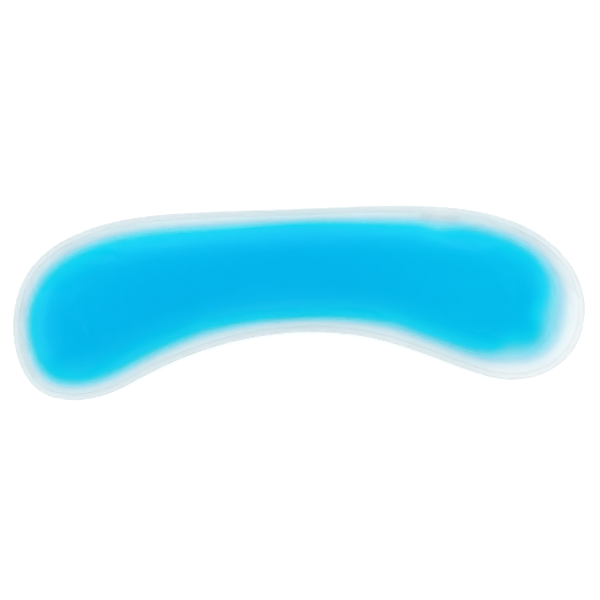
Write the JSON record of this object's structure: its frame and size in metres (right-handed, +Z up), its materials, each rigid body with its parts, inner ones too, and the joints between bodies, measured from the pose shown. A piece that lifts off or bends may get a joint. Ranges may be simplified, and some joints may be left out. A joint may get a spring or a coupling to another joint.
{
  "type": "gel eye pillow",
  "caption": "Crescent-shaped hot and cold eye pillow: a soft clear plastic pouch, welded all round and filled with blue gel.",
  "frame": {"origin": "under the middle of the pouch's box, on the surface that its back film rests on", "axes": "+X along the crescent's length, +Y towards its convex brow side, +Z up out of its front film"},
  "size_m": [0.229, 0.0734, 0.0126],
  "materials": {
    "film": "soft frosted clear film",
    "weld": "frosted, pressed flat",
    "gel": "wet clear gel"
  },
  "bodies": {
    "root": {"front_film": "film", "back_film": "film", "gel_fill": "gel", "perimeter_weld": "weld", "fill_port_weld": "weld"}
  },
  "joints": []
}
